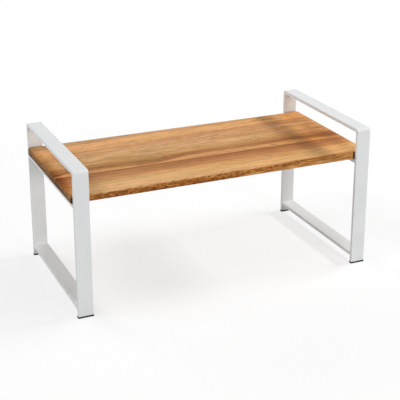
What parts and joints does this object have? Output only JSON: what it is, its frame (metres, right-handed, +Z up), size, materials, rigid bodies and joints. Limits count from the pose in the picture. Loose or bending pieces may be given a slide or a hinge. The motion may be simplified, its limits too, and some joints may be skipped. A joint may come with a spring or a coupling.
{
  "type": "shelf riser",
  "caption": "Free-standing shelf riser: a wooden board between two white flat-bar side frames whose top rails stand above the board as handles.",
  "frame": {"origin": "on the floor, under the middle of the board", "axes": "+X along the board, from the left side frame to the right one; +Y from the front edge to the rear edge; +Z up"},
  "size_m": [0.4, 0.2008, 0.187],
  "materials": {
    "acacia_board": "oiled, satin, edge-glued",
    "white_powder_coat": "white powder coat, satin",
    "foot_pads": "matt black",
    "screws": "zinc plated"
  },
  "bodies": {
    "root": {"front_stave": "acacia_board", "middle_stave": "acacia_board", "rear_stave": "acacia_board", "left_front_post": "white_powder_coat", "left_rear_post": "white_powder_coat", "left_top_rail": "white_powder_coat", "left_shelf_rail": "white_powder_coat", "left_foot_rail": "white_powder_coat", "left_front_pad": "foot_pads", "left_rear_pad": "foot_pads", "right_front_post": "white_powder_coat", "right_rear_post": "white_powder_coat", "right_top_rail": "white_powder_coat", "right_shelf_rail": "white_powder_coat", "right_foot_rail": "white_powder_coat", "right_front_pad": "foot_pads", "right_rear_pad": "foot_pads", "board_screws": "screws"}
  },
  "joints": []
}
